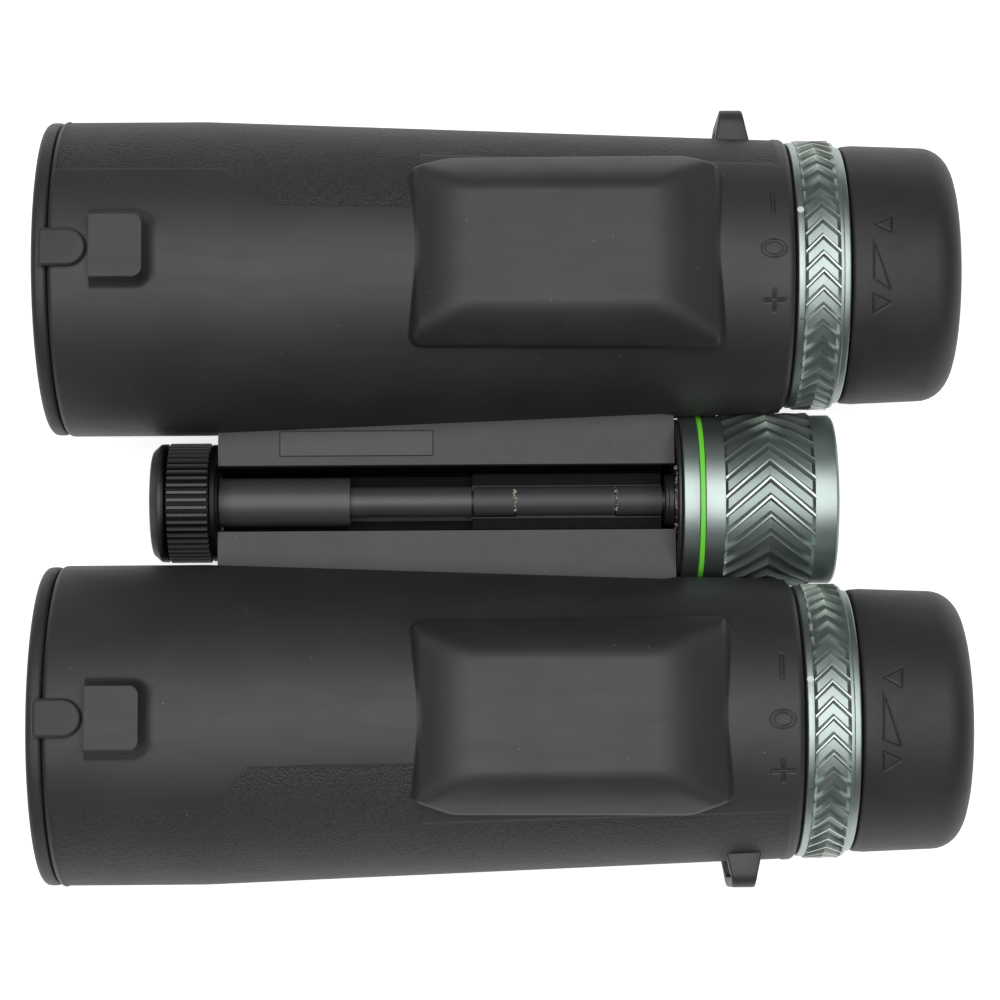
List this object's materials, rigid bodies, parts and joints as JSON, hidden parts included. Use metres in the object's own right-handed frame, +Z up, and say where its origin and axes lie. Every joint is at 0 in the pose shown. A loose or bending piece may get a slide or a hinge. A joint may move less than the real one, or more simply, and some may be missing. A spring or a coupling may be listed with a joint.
{
  "type": "binoculars",
  "caption": "Roof-prism binoculars with a central focusing knob, rubber-armoured barrels that fold on a hinge, twist-up eyecups, dioptre rings and push-on objective caps.",
  "frame": {"origin": "under the middle of the whole object, on the surface it lies on", "axes": "+X from the objectives to the eyepieces, +Y to the user's left barrel, +Z up, out of the binoculars' underside, because they lie on their top side"},
  "size_m": [0.1492, 0.1284, 0.055],
  "materials": {
    "armour_rubber": "satin charcoal rubber, fine grain on the outer sides",
    "housing_polymer": "matt glass-filled polycarbonate",
    "wing_polymer": "satin charcoal moulding",
    "lug_metal": "satin dark grey",
    "cap_rubber": "satin black rubber",
    "black_aluminium": "matt black anodised",
    "seal_rubber": "matt",
    "optical_glass": "polished, green anti-reflection coating",
    "prism_glass": "polished",
    "steel": "turned",
    "anodised_aluminium": "fine bead-blasted, grey-green anodised",
    "guide_polymer": "matt acetal",
    "eyecup_rubber": "satin soft-touch rubber",
    "cap_plastic": "satin black moulding",
    "green_accent": "bright green anodised",
    "brass": "turned",
    "plate_plastic": "blank satin label"
  },
  "bodies": {
    "right_barrel": {"right_armour": "armour_rubber", "right_housing": "housing_polymer", "right_wing": "wing_polymer", "right_strap_lug": "lug_metal", "right_objective_ring": "black_aluminium", "right_objective_seal": "seal_rubber", "right_objective_crown": "optical_glass", "right_objective_flint": "optical_glass", "right_prism_frame": "housing_polymer", "right_pechan_prism": "prism_glass", "right_schmidt_prism": "prism_glass", "right_field_stop": "black_aluminium", "right_eyepiece_tube": "black_aluminium", "hinge_shaft": "steel", "tripod_socket": "black_aluminium", "knob_spacer": "guide_polymer", "knob_retainer": "steel"},
    "left_barrel": {"left_armour": "armour_rubber", "left_housing": "housing_polymer", "left_wing": "wing_polymer", "left_strap_lug": "lug_metal", "left_objective_ring": "black_aluminium", "left_objective_seal": "seal_rubber", "left_objective_crown": "optical_glass", "left_objective_flint": "optical_glass", "left_prism_frame": "housing_polymer", "left_pechan_prism": "prism_glass", "left_schmidt_prism": "prism_glass", "left_field_stop": "black_aluminium", "left_eyepiece_tube": "black_aluminium", "front_hinge_sleeve": "black_aluminium", "rating_plate": "plate_plastic"},
    "focus_knob": {"focus_knob": "anodised_aluminium", "knob_accent_ring": "green_accent", "knob_end_cap": "anodised_aluminium"},
    "focus_carriage": {"focus_carriage": "brass"},
    "tripod_cap": {"tripod_cap": "cap_plastic"},
    "left_focus_group": {"left_focus_cell": "black_aluminium", "left_focus_lens": "optical_glass", "left_focus_rod": "steel"},
    "left_dioptre_ring": {"left_dioptre_ring": "anodised_aluminium"},
    "left_eyepiece": {"left_eyepiece_cell": "black_aluminium", "left_field_lens": "optical_glass", "left_eye_lens": "optical_glass"},
    "left_eyecup_guide": {"left_eyecup_guide": "guide_polymer"},
    "left_eyecup": {"left_eyecup_sleeve": "black_aluminium", "left_eyecup_rubber": "eyecup_rubber"},
    "left_objective_cap": {"left_objective_cap": "cap_rubber"},
    "right_focus_group": {"right_focus_cell": "black_aluminium", "right_focus_lens": "optical_glass", "right_focus_rod": "steel"},
    "right_dioptre_ring": {"right_dioptre_ring": "anodised_aluminium"},
    "right_eyepiece": {"right_eyepiece_cell": "black_aluminium", "right_field_lens": "optical_glass", "right_eye_lens": "optical_glass"},
    "right_eyecup_guide": {"right_eyecup_guide": "guide_polymer"},
    "right_eyecup": {"right_eyecup_sleeve": "black_aluminium", "right_eyecup_rubber": "eyecup_rubber"},
    "right_objective_cap": {"right_objective_cap": "cap_rubber"}
  },
  "joints": [
    {"name": "barrel_fold", "type": "hinge", "parent": "right_barrel", "child": "left_barrel", "pos_m": [0, 0, 0.02155], "axis": [1, 0, 0], "range_deg": [0, 63]},
    {"name": "focus_turn", "type": "hinge", "parent": "right_barrel", "child": "focus_knob", "pos_m": [0.042, 0, 0.02155], "axis": [1, 0, 0], "range_deg": [-90, 450]},
    {"name": "carriage_slide", "type": "slide", "parent": "right_barrel", "child": "focus_carriage", "axis": [1, 0, 0], "range_m": [-0.00076, 0.00376]},
    {"name": "tripod_cap_off", "type": "slide", "parent": "right_barrel", "child": "tripod_cap", "axis": [-1, 0, 0], "range_m": [0, 0.04]},
    {"name": "left_focus_slide", "type": "slide", "parent": "left_barrel", "child": "left_focus_group", "axis": [1, 0, 0], "range_m": [-0.00076, 0.00376]},
    {"name": "left_dioptre_turn", "type": "hinge", "parent": "left_barrel", "child": "left_dioptre_ring", "pos_m": [0.052, 0.03715, 0.0262], "axis": [1, 0, 0], "range_deg": [-14, 46]},
    {"name": "left_eyepiece_slide", "type": "slide", "parent": "left_barrel", "child": "left_eyepiece", "axis": [1, 0, 0], "range_m": [-0.00045, 0.0015]},
    {"name": "left_eyecup_lift", "type": "slide", "parent": "left_barrel", "child": "left_eyecup_guide", "axis": [1, 0, 0], "range_m": [0, 0.008]},
    {"name": "left_eyecup_turn", "type": "hinge", "parent": "left_eyecup_guide", "child": "left_eyecup", "pos_m": [0.065, 0.03715, 0.0262], "axis": [1, 0, 0], "range_deg": [0, 241]},
    {"name": "left_cap_pull", "type": "slide", "parent": "left_barrel", "child": "left_objective_cap", "axis": [-1, 0, 0], "range_m": [0, 0.03]},
    {"name": "right_focus_slide", "type": "slide", "parent": "right_barrel", "child": "right_focus_group", "axis": [1, 0, 0], "range_m": [-0.00076, 0.00376]},
    {"name": "right_dioptre_turn", "type": "hinge", "parent": "right_barrel", "child": "right_dioptre_ring", "pos_m": [0.052, -0.03715, 0.0262], "axis": [1, 0, 0], "range_deg": [-14, 46]},
    {"name": "right_eyepiece_slide", "type": "slide", "parent": "right_barrel", "child": "right_eyepiece", "axis": [1, 0, 0], "range_m": [-0.00045, 0.0015]},
    {"name": "right_eyecup_lift", "type": "slide", "parent": "right_barrel", "child": "right_eyecup_guide", "axis": [1, 0, 0], "range_m": [0, 0.008]},
    {"name": "right_eyecup_turn", "type": "hinge", "parent": "right_eyecup_guide", "child": "right_eyecup", "pos_m": [0.065, -0.03715, 0.0262], "axis": [1, 0, 0], "range_deg": [0, 241]},
    {"name": "right_cap_pull", "type": "slide", "parent": "right_barrel", "child": "right_objective_cap", "axis": [-1, 0, 0], "range_m": [0, 0.03]}
  ],
  "couplings": [
    {"joint": "carriage_slide", "follows": "focus_turn", "m_per_rad": 0.00047746},
    {"joint": "left_focus_slide", "follows": "focus_turn", "m_per_rad": 0.00047746},
    {"joint": "left_eyepiece_slide", "follows": "left_dioptre_turn", "m_per_rad": 0.0018},
    {"joint": "left_eyecup_turn", "follows": "left_eyecup_lift", "rad_per_m": 523.6},
    {"joint": "right_focus_slide", "follows": "focus_turn", "m_per_rad": 0.00047746},
    {"joint": "right_eyepiece_slide", "follows": "right_dioptre_turn", "m_per_rad": 0.0018},
    {"joint": "right_eyecup_turn", "follows": "right_eyecup_lift", "rad_per_m": 523.6}
  ]
}
